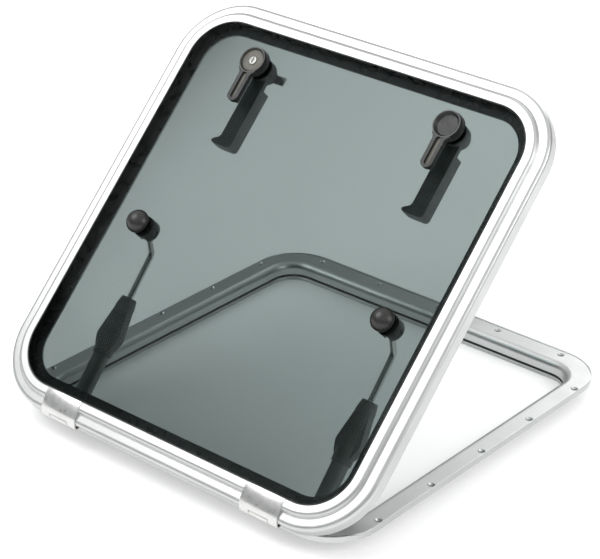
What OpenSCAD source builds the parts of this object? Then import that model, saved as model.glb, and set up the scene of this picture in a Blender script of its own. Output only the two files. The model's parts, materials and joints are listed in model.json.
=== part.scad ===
// Deck hatch: a glazed lid on two hinges, over a screwed-down base frame.
// X runs along the hinge line, +Y points away from the hinges, +Z is up.
// The origin is the centre of the screw pattern, on the deck under the flange.
// Lid parts are drawn closed, then turned open about the hinge pins by rest_open.

/* [Base frame] */
// Overall width of the base flange, along the hinges
base_x = 552; // [548:1:575]
// Overall depth of the base flange, across the hinges
base_y = 568; // [560:1:572]
// Outer corner radius of the base flange
base_corner_r = 66; // [55:1:80]
// Thickness of the flange that lies on the deck
flange_t = 8; // [6:0.5:9]
// Clear opening through the base frame, along X and along Y
opening = 490.4; // [470:0.2:494]
// Radius of the rounded shoulder from the flange into the opening
shoulder_r = 9; // [4:0.5:10]
// Depth of the spigot below the deck
spigot_depth = 17.4; // [16:0.2:30]
// Wall of the spigot
spigot_wall = 4; // [3.5:0.1:5]
// Radius of a vertical corner inside the opening
opening_corner_r = 35.5; // [30:0.5:60]
// Depth below the deck of the middle of the latch groove
groove_depth = 10.3; // [9:0.1:12]
// Height of the latch groove
groove_h = 3.8; // [3.6:0.1:5]
// How far the latch groove is cut into the spigot wall
groove_cut = 2.5; // [2:0.1:2.8]

/* [Deck screws] */
// Distance between the screw lines of opposite sides
screw_span = 540; // [530:1:542]
// Distance from one screw to the next along a side
screw_pitch = 103; // [80:1:104]
// Diameter of a screw hole
screw_hole_d = 5.5; // [4:0.1:6]
// Diameter of a countersink at the flange's top
countersink_d = 9.6; // [8:0.1:10]

/* [Lid] */
// Overall width of the lid frame, along the hinges
lid_x = 583; // [575:1:600]
// Overall depth of the lid frame, across the hinges
lid_y = 593; // [589:1:600]
// Outer corner radius of the lid frame
lid_corner_r = 88; // [75:1:100]
// Width of the lid frame, from its outer wall to the pane
frame_w = 29; // [27:0.5:30]
// Width of the ledge under the pane's edge
ledge_w = 14; // [10:0.5:15]
// Height of the frame's lip above the deck, with the lid closed
lip_z = 27.9; // [26:0.1:32]
// Height of the skirt's lower edge above the deck, with the lid closed
skirt_z = 3.3; // [2.5:0.1:4]
// Thickness of the frame's skin
skin_t = 2.6; // [2:0.1:3]
// Thickness of the pane
pane_t = 12; // [10:0.5:12]
// How far the pane's face lies below the lip
pane_drop = 0.3; // [0:0.1:0.5]
// How far the lid's centre is set back from the base's centre
lid_set_back = 1; // [0:0.5:2]
// Angle at which the lid stands open, as stored
rest_open = 45; // [30:1:50]

/* [Hinges] */
// Distance from the middle of the hatch to the middle of a hinge
hinge_x = 165.2; // [120:0.2:170]
// Width of a hinge
hinge_w = 58; // [50:1:64]
// Width of the middle knuckle
knuckle_mid_w = 28.5; // [24:0.5:32]
// Diameter of a knuckle
knuckle_d = 11; // [10:0.5:12]
// Diameter of the hinge pin
pin_d = 5; // [4:0.1:5.4]
// Distance from the screw pattern's centre to the pin's axis
pin_back = 294.6; // [293:0.1:296]
// Height of the pin's axis above the deck
pin_z = 13.4; // [13:0.1:14]

/* [Handles] */
// Distance from the middle of the hatch to a handle's spindle
handle_x = 154.4; // [120:0.2:160]
// Distance from the screw pattern's centre to the spindles, with the lid closed
handle_y = 220.5; // [220:0.1:221]
// Height of the outer handle above the pane
handle_h = 12; // [10:0.5:16]
// Radius of the outer handle's round head, at the top
handle_head_r = 18.4; // [16:0.2:20]
// Distance from the spindle to the end of the outer handle
handle_reach = 60; // [56:1:66]
// Width of the outer handle's bar, at the top
handle_bar_w = 17; // [15:0.5:19]
// Width of the recess in the bar
slot_w = 7; // [6:0.1:8]
// Depth of the recess in the bar
slot_depth = 4; // [2:0.1:5]
// Diameter of the spindle
spindle_d = 8; // [6:0.5:9]
// Length of the inner lever, from the spindle to its end
lever_reach = 112; // [90:1:120]
// Width of the inner lever's grip
lever_w = 22; // [16:1:24]
// Depth of the inner lever's grip, square to the pane
lever_deep = 20; // [12:1:20]
// How far the spur stands out at the lever's end
spur = 11; // [6:1:12]

/* [Stays] */
// Distance from the middle of the hatch to a stay
stay_x = 198; // [195:0.5:200]
// Distance from the screw pattern's centre to a stay's boss, towards the hinges, with the lid closed
boss_back = 28.5; // [26:0.5:32]
// Height of the boss's pivot above the deck, with the lid closed
boss_pivot_z = 4; // [3:0.5:5]
// Radius of the dome outside the pane
dome_r = 15.5; // [14:0.5:18]
// Diameter of the stay rod
rod_d = 8; // [6:0.5:8.5]
// Outer diameter of the stay tube
tube_d = 22; // [21.5:0.1:23]
// Distance from the screw pattern's centre to the lower pivot
foot_back = 234; // [232:0.5:236]
// Depth of the lower pivot below the deck
foot_drop = 4; // [3:0.5:5]
// Slope of the stay tube, as stored
tube_slope = 48.8; // [47:0.1:50]
// Distance from the lower pivot to the tube's mouth
tube_reach = 138; // [134:1:140]
// Distance from the lower pivot to the rod's bend, as stored
bend_at = 213.8; // [210:0.2:216]
// Length of the rod beyond its bend
rod_tail = 98; // [94:1:100]
// Length of the twist grip
grip_len = 77; // [70:1:80]
// Width of the twist grip's wings, over all
grip_w = 36; // [32:1:38]
// Thickness of the twist grip's wings
grip_t = 13; // [10:0.5:16]

/* [Hidden] */
$fn = 48;
play = 0.05;              // radial running clearance
gap = 0.75;               // side clearance between knuckles
eps = 0.02;
deck = 0;
flange_z = deck + flange_t;
inner_x = opening / 2;
pin_y = -pin_back;
seat_z = lip_z - pane_drop - pane_t - sealant_t();
function sealant_t() = 0.8;
ledge_t = 2.5;
ledge_z = seat_z - ledge_t;
pane_z = seat_z + sealant_t();
pane_top = pane_z + pane_t;
band_z = lip_z - 5.5;     // lower, outer step of the frame's top
shoulder_o = 6;           // rounding from the outer wall to the band
lip_x = lid_x / 2 - frame_w;
lip_y = lid_y / 2 - frame_w;
lip_r = lid_corner_r - frame_w;
clear_x = lip_x - ledge_w;
clear_y = lip_y - ledge_w;
clear_r = lip_r - ledge_w;
bush_r = 3.75;
edge_r = 1.2;
groove_z = deck - groove_depth;
tongue_t = 2.4;
tongue_reach = inner_x + 1.5 - handle_y;
nose_len = 12;            // the twist grip's nose, beyond the tube's mouth
grip_play = 0.15;         // radial clearance between the twist grip and the tube
grip_from = tube_reach + nose_len - grip_len;
tube_bore_r = tube_d / 2 - 1.8;
rod_turn_r = 10;          // radius of the rod's bend, to its centre line
stud_out = 8;             // length of a stay's stud above the washer
foot_y = -foot_back;
foot_z = deck - foot_drop;
stay_screw_x = 7.5;       // screws of a stay's bracket, from its middle
stay_screw_z = deck - 13.5;

// ---- shapes that several pieces share ----

// Rectangle with round corners, from its half sizes.
module round_rect(hx, hy, r) {
    square([2 * (hx - r), 2 * hy], center = true);
    square([2 * hx, 2 * (hy - r)], center = true);
    for (sx = [-1, 1], sy = [-1, 1])
        translate([sx * (hx - r), sy * (hy - r)]) circle(r);
}

module round_slab(hx, hy, r, z0, z1)
    translate([0, 0, z0]) linear_extrude(z1 - z0) round_rect(hx, hy, r);

// Flat ring whose outer edge has the half sizes hx and hy.
module flat_ring(hx, hy, r, w, z0, z1)
    difference() {
        round_slab(hx, hy, r, z0, z1);
        round_slab(hx - w, hy - w, r - w, z0 - 1, z1 + 1);
    }

// Sweeps a profile round a rounded rectangle. The profile's x is the distance inwards
// from the path and its y is the height.
module sweep_ring(hx, hy, r) {
    for (a = [0, 90, 180, 270])
        rotate([0, 0, a])
            translate([(a % 180 == 0 ? hx : hy) - r, (a % 180 == 0 ? hy : hx) - r, 0])
                rotate_extrude(angle = 90, $fn = 96) translate([r, 0]) mirror([1, 0]) children();
    for (a = [0, 90, 180, 270]) {
        across = a % 180 == 0 ? hx : hy;
        along = (a % 180 == 0 ? hy : hx) - r;
        rotate([0, 0, a]) translate([across, along, 0]) rotate([90, 0, 0])
            linear_extrude(2 * along) mirror([1, 0]) children();
    }
}

function arc(cx, cy, r, a0, a1, n) =
    [for (i = [0:n]) let (a = a0 + (a1 - a0) * i / n) [cx + r * cos(a), cy + r * sin(a)]];

module x_rod(r, w) rotate([0, 90, 0]) cylinder(r = r, h = w, center = true);

module on_lid()
    translate([0, pin_y, pin_z]) rotate([rest_open, 0, 0]) translate([0, -pin_y, -pin_z]) children();

// Frame of a stay tube: +Y runs up the tube from the lower pivot, +Z away from the opening.
module on_tube(side)
    translate([side * stay_x, foot_y, foot_z]) rotate([tube_slope, 0, 0]) children();

// ---- base frame ----

module screw_points()
    for (i = [-2:2], s = [-1, 1]) {
        translate([s * screw_span / 2, i * screw_pitch, 0]) children();
        translate([i * screw_pitch, s * screw_span / 2, 0]) children();
    }

module countersunk_hole() {
    sink = (countersink_d - screw_hole_d) / 2;
    translate([0, 0, deck - 1]) cylinder(d = screw_hole_d, h = flange_t + 2);
    translate([0, 0, flange_z - sink])
        cylinder(d1 = screw_hole_d, d2 = countersink_d + 2 * eps, h = sink + eps);
}

module base_frame() {
    outer_x = inner_x + spigot_wall;
    spigot_r = opening_corner_r + spigot_wall;
    drip_x = base_x / 2 + 2.1;
    drip_y = base_y / 2 - 3.9;
    color("silver") difference() {
        union() {
            round_slab(base_x / 2, base_y / 2, base_corner_r, deck, flange_z);
            round_slab(outer_x, outer_x, spigot_r, deck - spigot_depth, flange_z);
        }
        round_slab(inner_x, inner_x, opening_corner_r, deck - spigot_depth - 1, flange_z + 1);
        round_slab(inner_x + groove_cut, inner_x + groove_cut, opening_corner_r + groove_cut,
            groove_z - groove_h / 2, groove_z + groove_h / 2);
        sweep_ring(inner_x, inner_x, opening_corner_r)
            polygon(concat([[1, flange_z + 1], [-shoulder_r, flange_z + 1]],
                arc(-shoulder_r, flange_z - shoulder_r, shoulder_r, 90, 0, 8),
                [[1, flange_z - shoulder_r]]));
        sweep_ring(base_x / 2, base_y / 2, base_corner_r)
            polygon(concat([[-1, flange_z + 1], [-1, flange_z - edge_r]],
                arc(edge_r, flange_z - edge_r, edge_r, 180, 90, 3), [[edge_r, flange_z + 1]]));
        flat_ring(drip_x, drip_y, base_corner_r, 1.4, flange_z - 1.2, flange_z + 1);
        screw_points() countersunk_hole();
    }
}

module latch_wear_strip() {
    fit = 0.2;
    hx = inner_x + groove_cut;
    color("black")
        flat_ring(hx, hx, opening_corner_r + groove_cut, 0.6,
            groove_z - groove_h / 2 + fit, groove_z + groove_h / 2 - fit);
}

// Middle knuckle of a hinge, with its arm and foot on the base's front edge.
module hinge_bracket(side) {
    front = -base_y / 2;
    foot_t = 3;
    color("gainsboro") translate([side * hinge_x, 0, 0]) difference() {
        union() {
            translate([0, pin_y, pin_z]) x_rod(knuckle_d / 2, knuckle_mid_w);
            translate([-knuckle_mid_w / 2, 0, 0]) rotate([90, 0, 90]) linear_extrude(knuckle_mid_w)
                polygon([[front, deck + 0.4], [front, flange_z - 0.6], [front - foot_t, flange_z + 0.6],
                    [pin_y + 3, pin_z + 3], [pin_y - 3, pin_z - 4.4], [front - foot_t, deck + 0.4]]);
        }
        translate([0, pin_y, pin_z]) x_rod(pin_d / 2 + play, knuckle_mid_w + 2);
        for (s = [-1, 1]) translate([s * 8, front + 1, deck + 3.6]) rotate([90, 0, 0]) {
            cylinder(r = 1.6, h = 30);
            translate([0, 0, 3]) cylinder(r = 3.1, h = 30);
        }
    }
}

module hinge_bracket_screws() {
    front = -base_y / 2;
    color("lightgrey") for (side = [-1, 1], s = [-1, 1])
        translate([side * hinge_x + s * 8, front, deck + 3.6]) rotate([90, 0, 0]) {
            cylinder(r = 1.6 - play, h = 3);
            translate([0, 0, 2]) cylinder(r = 3, h = 1.8);
        }
}

// Plate and two ears for a stay's lower pivot, on the spigot's front wall.
module stay_bracket(side) {
    wall_y = -inner_x;
    plate_t = 3;
    ear_x = 5.6;
    ear_t = 3;
    half = 11.5;
    color("dimgray") translate([side * stay_x, 0, 0]) difference() {
        union() {
            translate([-half, wall_y, deck - 17]) cube([2 * half, plate_t, 15]);
            for (s = [-1, 1]) translate([s * (ear_x + ear_t / 2), 0, 0]) {
                translate([-ear_t / 2, wall_y, foot_z - 5]) cube([ear_t, foot_y - wall_y, 8]);
                translate([0, foot_y, foot_z]) x_rod(5, ear_t);
            }
        }
        translate([0, foot_y, foot_z]) x_rod(2.5, 40);
        for (s = [-1, 1]) translate([s * stay_screw_x, wall_y - 1, stay_screw_z]) rotate([-90, 0, 0])
            cylinder(r = 1.6, h = plate_t + 2);
    }
}

module stay_foot_pin(side)
    color("silver") translate([side * stay_x, foot_y, foot_z]) x_rod(2.5 - play, 20);

module stay_bracket_screws()
    color("lightgrey") for (side = [-1, 1], s = [-1, 1])
        translate([side * stay_x + s * stay_screw_x, -inner_x, stay_screw_z]) rotate([-90, 0, 0]) {
            cylinder(r = 1.6 - play, h = 3);
            translate([0, 0, 3]) cylinder(r = 2.9, h = 1.6);
        }

// ---- lid frame, pane and seals ----

// Outer face of the lid frame's section: x runs inwards from the outer wall, y is the height.
bead_o = 15.2;            // from the outer wall to the foot of the raised lip
roll_r = 5.2;             // rounding at the top of the raised lip
roll_o = bead_o + roll_r;
lid_face = concat(
    [[0, skirt_z]],
    arc(shoulder_o, band_z - shoulder_o, shoulder_o, 180, 90, 6),
    arc(bead_o - 1.8, band_z + 2, 1.8, 270, 340, 4),
    arc(roll_o, lip_z - roll_r, roll_r, 165, 90, 6),
    [[frame_w - 0.6, lip_z], [frame_w, lip_z - 0.6]]);

module lid_section() {
    wall_in = skin_t;
    web_in = frame_w - skin_t;
    end_o = frame_w + ledge_w;
    polygon(concat(lid_face,
        [[frame_w, seat_z], [end_o, seat_z], [end_o, ledge_z], [web_in, ledge_z],
            [web_in, lip_z - skin_t], [roll_o, lip_z - skin_t], [roll_o - 3, band_z - skin_t + 0.8],
            [12, band_z - skin_t], [shoulder_o + 1, band_z - skin_t],
            [wall_in, band_z - shoulder_o - 1], [wall_in, skirt_z]]));
}

// The hinges' knuckles sit in notches through the lid's front wall.
knuckle_room = 1.4;
notch_y = pin_y + knuckle_d / 2 + knuckle_room;
notch_z = pin_z + knuckle_d / 2 + knuckle_room;
leaf_screw_y = pin_y + 13;
leaf_screw_x = 20;

module lid_frame() {
    notch_w = hinge_w + 1;
    color("silver") on_lid() difference() {
        translate([0, lid_set_back, 0]) sweep_ring(lid_x / 2, lid_y / 2, lid_corner_r) lid_section();
        for (side = [-1, 1]) {
            translate([side * hinge_x - notch_w / 2, notch_y - 30, notch_z - 30])
                cube([notch_w, 30, 30]);
            for (s = [-1, 1]) translate([side * hinge_x + s * leaf_screw_x, leaf_screw_y, 0])
                cylinder(r = 1.6, h = lip_z);
        }
    }
}

module pane_holes(extra) {
    for (side = [-1, 1]) {
        translate([side * handle_x, handle_y, 0]) cylinder(r = 7 + extra, h = 60);
        translate([side * stay_x, -boss_back, 0]) cylinder(r = 4 + extra, h = 60);
    }
}

module pane() {
    edge = 1.5;
    color([0.45, 0.5, 0.5, 0.55]) on_lid() difference() {
        translate([0, lid_set_back, 0])
            round_slab(lip_x - edge, lip_y - edge, lip_r - edge, pane_z, pane_top);
        pane_holes(0);
    }
}

module pane_sealant() {
    edge = 1.5;
    below = 0.6;
    color("black") on_lid() translate([0, lid_set_back, 0]) {
        difference() {
            round_slab(lip_x, lip_y, lip_r, seat_z, pane_top - below);
            round_slab(lip_x - edge, lip_y - edge, lip_r - edge, pane_z, pane_top);
            round_slab(clear_x, clear_y, clear_r, seat_z - 1, pane_z + 1);
        }
    }
}

// Soft ring under the lid's ledge: a glued strip, and a bulb that meets the flange when
// the lid is shut.
module weather_seal() {
    strip_w = 6;
    strip_t = 1.4;
    clear = 0.3;
    low = flange_z + clear;
    bulb_r = (ledge_z - strip_t - low) / 2 + 0.6;
    mid = inner_x + shoulder_r + 1.3 + strip_w / 2;
    mid_r = opening_corner_r + mid - inner_x;
    color("black") on_lid() {
        sweep_ring(mid, mid, mid_r)
            polygon(concat([[strip_w / 2, ledge_z], [-strip_w / 2, ledge_z],
                [-strip_w / 2, ledge_z - strip_t], [-bulb_r, ledge_z - strip_t]],
                arc(0, low + bulb_r, bulb_r, 180, 360, 10),
                [[bulb_r, ledge_z - strip_t], [strip_w / 2, ledge_z - strip_t]]));
    }
}

// ---- hinges ----

// Lid leaf of a hinge: a wedge plate over the frame's front edge, with two knuckles.
module hinge_leaf(side) {
    k_r = knuckle_d / 2;
    lid_front = lid_set_back - lid_y / 2;
    lip_front = lid_front + frame_w;
    between = knuckle_mid_w + 2 * gap;
    color("gainsboro") on_lid() translate([side * hinge_x, 0, 0]) difference() {
        translate([-hinge_w / 2, 0, 0]) rotate([90, 0, 90]) linear_extrude(hinge_w) difference() {
            union() {
                translate([pin_y, pin_z]) circle(k_r);
                polygon([[lip_front - 0.5, lip_z - 0.5], [lip_front - 0.5, lip_z + 0.7],
                    [lid_front + roll_o, lip_z + 0.7], [pin_y + 5.5, lip_z - 2.8],
                    [pin_y + 1.2, lip_z - 5.2], [pin_y - 4.6, pin_z + 3], [pin_y, pin_z],
                    [pin_y + 4, pin_z + 3.6], [pin_y + 4, lip_z - 8],
                    [lip_front - 5, band_z - 1]]);
            }
            difference() {
                translate([lid_front, 0]) polygon(concat(lid_face, [[frame_w, skirt_z]]));
                translate([notch_y - 30, notch_z - 30]) square(30);
            }
        }
        translate([0, pin_y, pin_z]) x_rod(k_r + 0.9, between);
        translate([-between / 2, pin_y - 20, -10]) cube([between, 25.5, pin_z + 12]);
        translate([0, pin_y, pin_z]) x_rod(bush_r, hinge_w + 2);
        for (s = [-1, 1]) translate([s * leaf_screw_x, leaf_screw_y, 0])
            cylinder(r = 1.6, h = lip_z - 3);
    }
}

module hinge_leaf_screws()
    color("lightgrey") on_lid() for (side = [-1, 1], s = [-1, 1])
        translate([side * hinge_x + s * leaf_screw_x, leaf_screw_y, band_z - skin_t]) {
            cylinder(r = 1.6 - play, h = 5);
            translate([0, 0, -1.8]) cylinder(r = 3, h = 1.8);
        }

module hinge_pin(side)
    color("dimgray") on_lid() translate([side * hinge_x, pin_y, pin_z])
        x_rod(pin_d / 2, hinge_w - 3);

// Two sleeves that hold the pin in the lid's knuckles, a little below their outer faces.
module hinge_bush(side) {
    end_w = (hinge_w - knuckle_mid_w) / 2 - gap - 0.6;
    mid_end = hinge_w / 2 - 0.6 - end_w / 2;
    color("black") on_lid() translate([side * hinge_x, pin_y, pin_z]) difference() {
        for (s = [-1, 1]) translate([s * mid_end, 0, 0]) x_rod(bush_r, end_w);
        x_rod(pin_d / 2, hinge_w + 2);
    }
}

// ---- handles ----

// Outline of an outer handle: a round head and a bar, in plan, pointing to -Y.
module handle_outline(grow) {
    r = handle_head_r + grow;
    w = handle_bar_w / 2 + grow;
    tip = handle_reach + grow - w;
    neck = 9;
    circle(r);
    translate([-w, -tip]) square([2 * w, tip]);
    translate([0, -tip]) circle(w);
    difference() {
        translate([-w - neck / 2, -r - neck]) square([2 * w + neck, r + neck]);
        for (s = [-1, 1]) translate([s * (w + neck), -r - neck * 0.55]) circle(neck);
    }
}

// Outline of the recess in a handle's bar.
module bar_recess(inset) {
    w = slot_w / 2 - inset;
    from = handle_head_r + slot_w / 2 - 0.4;
    to = handle_reach - slot_w / 2 - 4;
    translate([-w, -to]) square([2 * w, to - from]);
    for (y = [-from, -to]) translate([0, y]) circle(w);
}

dish_h = 4.6;             // depth of the dish in a handle's head

module outer_handle(side) {
    z0 = pane_top + 1;
    z_step = z0 + 4.5;
    z1 = pane_top + handle_h;
    color([0.12, 0.12, 0.12]) on_lid() translate([side * handle_x, handle_y, 0]) difference() {
        union() {
            translate([0, 0, z_step]) linear_extrude(z1 - z_step) handle_outline(0);
            translate([0, 0, z0]) linear_extrude(z_step - z0) {
                circle(handle_head_r + 1.6);
                translate([-6, -handle_reach + 2]) square([12, handle_reach - 2]);
            }
        }
        translate([0, 0, z1 - dish_h])
            cylinder(r1 = handle_head_r - 4.6, r2 = handle_head_r - 1.6 + eps, h = dish_h + eps);
        translate([0, 0, z1 - slot_depth]) linear_extrude(slot_depth + 1) bar_recess(0);
        if (side < 0) {
            translate([0, 0, z0 + 1.2]) cylinder(r = 9, h = 3.2);
            translate([0, 0, z0 + 3]) cylinder(r = 5.5 + play, h = handle_h);
        }
        translate([0, 0, z0 - 1]) cylinder(d = spindle_d, h = 2.2);
    }
}

// Pale strip at the bottom of the recess in a handle's bar.
module handle_inlay(side)
    color([0.42, 0.41, 0.38]) on_lid()
        translate([side * handle_x, handle_y, pane_top + handle_h - slot_depth])
            linear_extrude(0.9) bar_recess(0.1);

// Pale round plate in the left handle's dish, about the key barrel.
module lock_insert() {
    z0 = pane_top + handle_h - dish_h;
    color([0.42, 0.41, 0.38]) on_lid() translate([-handle_x, handle_y, z0]) difference() {
        cylinder(r1 = handle_head_r - 4.8, r2 = handle_head_r - 3.4, h = 2.2);
        translate([0, 0, -1]) cylinder(r = 5.5 + play, h = 5);
    }
}

module lock_barrel() {
    z0 = pane_top + 1 + 4.4;
    z1 = pane_top + handle_h - 1.6;
    color([0.5, 0.5, 0.48]) on_lid() translate([-handle_x, handle_y, z0]) difference() {
        cylinder(r = 5.5, h = z1 - z0);
        translate([-0.9, -3.6, z1 - z0 - 1.6]) cube([1.8, 7.2, 2]);
    }
}

module lock_cam()
    color("silver") on_lid() translate([-handle_x, handle_y, pane_top + 1 + 2.1]) {
        cylinder(r = 3.6, h = 2.3);
        translate([-2, -7.6, 0]) cube([4, 7.6, 1.6]);
    }

module spindle_bush(side)
    color("black") on_lid() translate([side * handle_x, handle_y, pane_z]) difference() {
        cylinder(r = 7, h = pane_t);
        translate([0, 0, -1]) cylinder(r = spindle_d / 2 + play, h = pane_t + 2);
    }

// One soft ring over and one under the pane at each spindle.
module handle_gaskets()
    color("black") on_lid() for (side = [-1, 1], z = [pane_z - 0.8, pane_top])
        translate([side * handle_x, handle_y, z]) difference() {
            cylinder(r = 15, h = 0.8);
            translate([0, 0, -1]) cylinder(r = spindle_d / 2 + 0.2, h = 3);
        }

module spindle(side)
    color("silver") on_lid() translate([side * handle_x, handle_y, groove_z + tongue_t / 2])
        cylinder(d = spindle_d, h = pane_top + 2.2 - groove_z - tongue_t / 2);

// Inner lever: a hub under the pane and a deep grip that points to -Y, with a spur to -X.
module inner_handle(side) {
    hub_top = pane_z - 1;
    hub_low = groove_z + tongue_t / 2 + 0.2;
    arm_z = 0;
    grip_top = 7;
    grip_low = grip_top - lever_deep;
    grip_near = 24;
    w = lever_w / 2;
    round_r = 6;
    color([0.36, 0.37, 0.36]) on_lid() translate([side * handle_x, handle_y, 0]) difference() {
        union() {
            translate([0, 0, arm_z]) cylinder(r = 16, h = hub_top - arm_z);
            translate([0, 0, hub_low]) cylinder(r = 12, h = arm_z - hub_low + 1);
            translate([-w, -grip_near - 8, arm_z]) cube([lever_w, grip_near + 8, grip_top - arm_z]);
            translate([0, 0, grip_low]) linear_extrude(lever_deep) {
                translate([-w, -lever_reach + round_r])
                    square([lever_w, lever_reach - round_r - grip_near]);
                translate([-w + round_r, -lever_reach]) square([lever_w - 2 * round_r, round_r + 1]);
                translate([w - round_r, -lever_reach + round_r]) circle(round_r);
                translate([-w + round_r, -lever_reach + round_r]) circle(round_r);
                polygon([[-w + 4, -lever_reach], [-w - spur + 2, -lever_reach + 1],
                    [-w - spur, -lever_reach + 4], [-w - spur + 3, -lever_reach + 7],
                    [-w - 2, -lever_reach + 10], [-w + 2, -lever_reach + 18], [-w + 4, -lever_reach + 18]]);
            }
        }
        translate([0, 0, hub_low - 1]) cylinder(d = spindle_d, h = hub_top - hub_low + 2);
    }
}

// Tongue that swings into the latch groove. It points across the lever.
module latch_tongue(side) {
    w = 6;
    color("silver") on_lid() translate([side * handle_x, handle_y, groove_z - tongue_t / 2])
        linear_extrude(tongue_t) intersection() {
            union() {
                circle(8);
                translate([side > 0 ? -tongue_reach : 0, -w]) square([tongue_reach, 2 * w]);
            }
            circle(tongue_reach, $fn = 96);
        }
}

module spindle_screw(side) {
    head_h = 2.4;
    color("lightgrey") on_lid()
        translate([side * handle_x, handle_y, groove_z - tongue_t / 2 - head_h])
            difference() {
                cylinder(r = 4.5, h = head_h);
                translate([0, 0, -1]) cylinder(r = 2, h = 2.2, $fn = 6);
            }
}

// ---- stays ----

// Domed cap outside the pane, at the top of a stay.
module stay_cap(side) {
    rim = 2.5;
    crown = 12;
    ball_r = (dome_r * dome_r + crown * crown) / (2 * crown);
    color([0.2, 0.2, 0.2]) on_lid() translate([side * stay_x, -boss_back, pane_top + 0.8])
        difference() {
            union() {
                cylinder(r = dome_r, h = rim);
                intersection() {
                    translate([0, 0, rim + crown - ball_r]) sphere(ball_r, $fn = 96);
                    translate([0, 0, rim]) cylinder(r = dome_r, h = crown + 1);
                }
            }
            translate([0, 0, -1]) cylinder(r = 4, h = stud_out + 1);
        }
}

// Boss under the pane: a stud through the pane and a fork for the rod's eye.
module stay_boss(side) {
    r = 14.5;
    low = boss_pivot_z - 6.5;
    fork = rod_d + 1.2;
    color([0.25, 0.25, 0.25]) on_lid() translate([side * stay_x, -boss_back, 0]) difference() {
        union() {
            translate([0, 0, low]) cylinder(r = r, h = pane_z - 0.8 - low);
            translate([0, 0, pane_z - 2]) cylinder(r = 4, h = pane_t + 2.8 + stud_out);
        }
        translate([-fork / 2, -r - 1, low - 1]) cube([fork, 2 * r + 2, 14]);
        translate([0, 0, boss_pivot_z]) x_rod(2.5, 2 * r + 2);
    }
}

// One soft ring over and one under the pane at each stay.
module stay_washers()
    color("black") on_lid() for (side = [-1, 1], z = [pane_z - 0.8, pane_top])
        translate([side * stay_x, -boss_back, z]) difference() {
            cylinder(r = 14, h = 0.8);
            translate([0, 0, -1]) cylinder(r = 4, h = 3);
        }

module stay_rod_pin(side)
    color("silver") on_lid() translate([side * stay_x, -boss_back, boss_pivot_z]) x_rod(2.5, 26);

// Height and place of the boss's pivot with the lid at its stored angle.
function turned(p) = let (y = p[0] - pin_y, z = p[1] - pin_z)
    [pin_y + y * cos(rest_open) - z * sin(rest_open), pin_z + y * sin(rest_open) + z * cos(rest_open)];
boss_at = turned([-boss_back, boss_pivot_z]);
bend_point = [foot_y + bend_at * cos(tube_slope), foot_z + bend_at * sin(tube_slope)];

// Cranked rod: an eye at the boss, a short leg, a bend and a tail down the tube.
module stay_rod(side) {
    leg = boss_at - bend_point;
    leg_a = atan2(leg[1], leg[0]);
    tail_a = 180 + tube_slope;
    turn = 180 - (tail_a - leg_a);
    from_bend = rod_turn_r * tan(turn / 2);
    to_centre = rod_turn_r / cos(turn / 2);
    mid_a = (leg_a + tail_a) / 2;
    lap = 0.5;
    swell = 0.1;
    eye_r = 6;
    r = rod_d / 2;
    color("silver") translate([side * stay_x, 0, 0]) difference() {
        union() {
            translate([0, boss_at[0], boss_at[1]]) x_rod(eye_r, rod_d + 0.4);
            translate([0, bend_point[0], bend_point[1]]) {
                rotate([leg_a - 90, 0, 0]) translate([0, 0, from_bend - lap])
                    cylinder(r = r, h = norm(leg) - from_bend + lap - eye_r * 0.75);
                rotate([tail_a - 90, 0, 0]) translate([0, 0, from_bend - lap])
                    cylinder(r = r, h = rod_tail - from_bend + lap);
                translate([0, to_centre * cos(mid_a), to_centre * sin(mid_a)])
                    rotate([90, 0, 90]) rotate([0, 0, tail_a - 270])
                        rotate_extrude(angle = turn) translate([rod_turn_r, 0]) circle(r + swell);
            }
        }
        translate([0, boss_at[0], boss_at[1]]) x_rod(2.5 + play, rod_d + 2);
    }
}

module stay_tube(side) {
    start = 16;
    bore_from = 66;
    color([0.2, 0.2, 0.2]) on_tube(side) difference() {
        union() {
            x_rod(5.4, 10.4);
            translate([-5.2, 0, -4]) cube([10.4, start + 1, 8]);
            translate([0, start, 0]) rotate([-90, 0, 0]) cylinder(d = tube_d, h = tube_reach - start);
        }
        x_rod(2.5, 20);
        translate([0, bore_from, 0]) rotate([-90, 0, 0]) cylinder(r = tube_bore_r, h = tube_reach);
    }
}

// Ring on the tube that keeps the twist grip in its place.
module stay_collar(side) {
    len = 4;
    r = tube_d / 2;
    color([0.16, 0.16, 0.16]) on_tube(side) translate([0, grip_from - 0.3 - len, 0])
        rotate([-90, 0, 0]) difference() {
            cylinder(r = r + 2, h = len);
            translate([0, 0, -1]) cylinder(r = r, h = len + 2);
        }
}

// Outline of the twist grip's wings, from its lower end: widest low down, and narrow at the nose.
module wings() {
    half = grip_w / 2;
    bow = 14;
    low = 22;
    tip = 9.5;
    polygon(concat(
        [[-8, 0], [-8, 3], [-half + 5, 6]],
        arc(-half + bow, low, bow, 205, 165, 6),
        arc(0, grip_len - tip, tip, 165, 15, 8),
        arc(half - bow, low, bow, 15, -25, 6),
        [[half - 5, 6], [8, 3], [8, 0]]));
}

// Twist grip that turns on the tube, with two wings and a nose over the tube's mouth.
module twist_grip(side) {
    r = tube_d / 2;
    body_r = r + 1.8;
    body_len = grip_len - nose_len;
    hole_r = tube_bore_r + 0.15;
    color([0.14, 0.14, 0.14]) on_tube(side) translate([0, grip_from, 0]) difference() {
        union() {
            rotate([-90, 0, 0]) cylinder(r = body_r, h = body_len);
            translate([0, body_len, 0]) rotate([-90, 0, 0])
                cylinder(r1 = body_r, r2 = hole_r + 0.85, h = nose_len);
            translate([0, 0, -grip_t / 2]) linear_extrude(grip_t) wings();
        }
        translate([0, -1, 0]) rotate([-90, 0, 0]) cylinder(r = r + grip_play, h = body_len + 1.3);
        rotate([-90, 0, 0]) cylinder(r = hole_r, h = grip_len + 1);
    }
}

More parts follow.
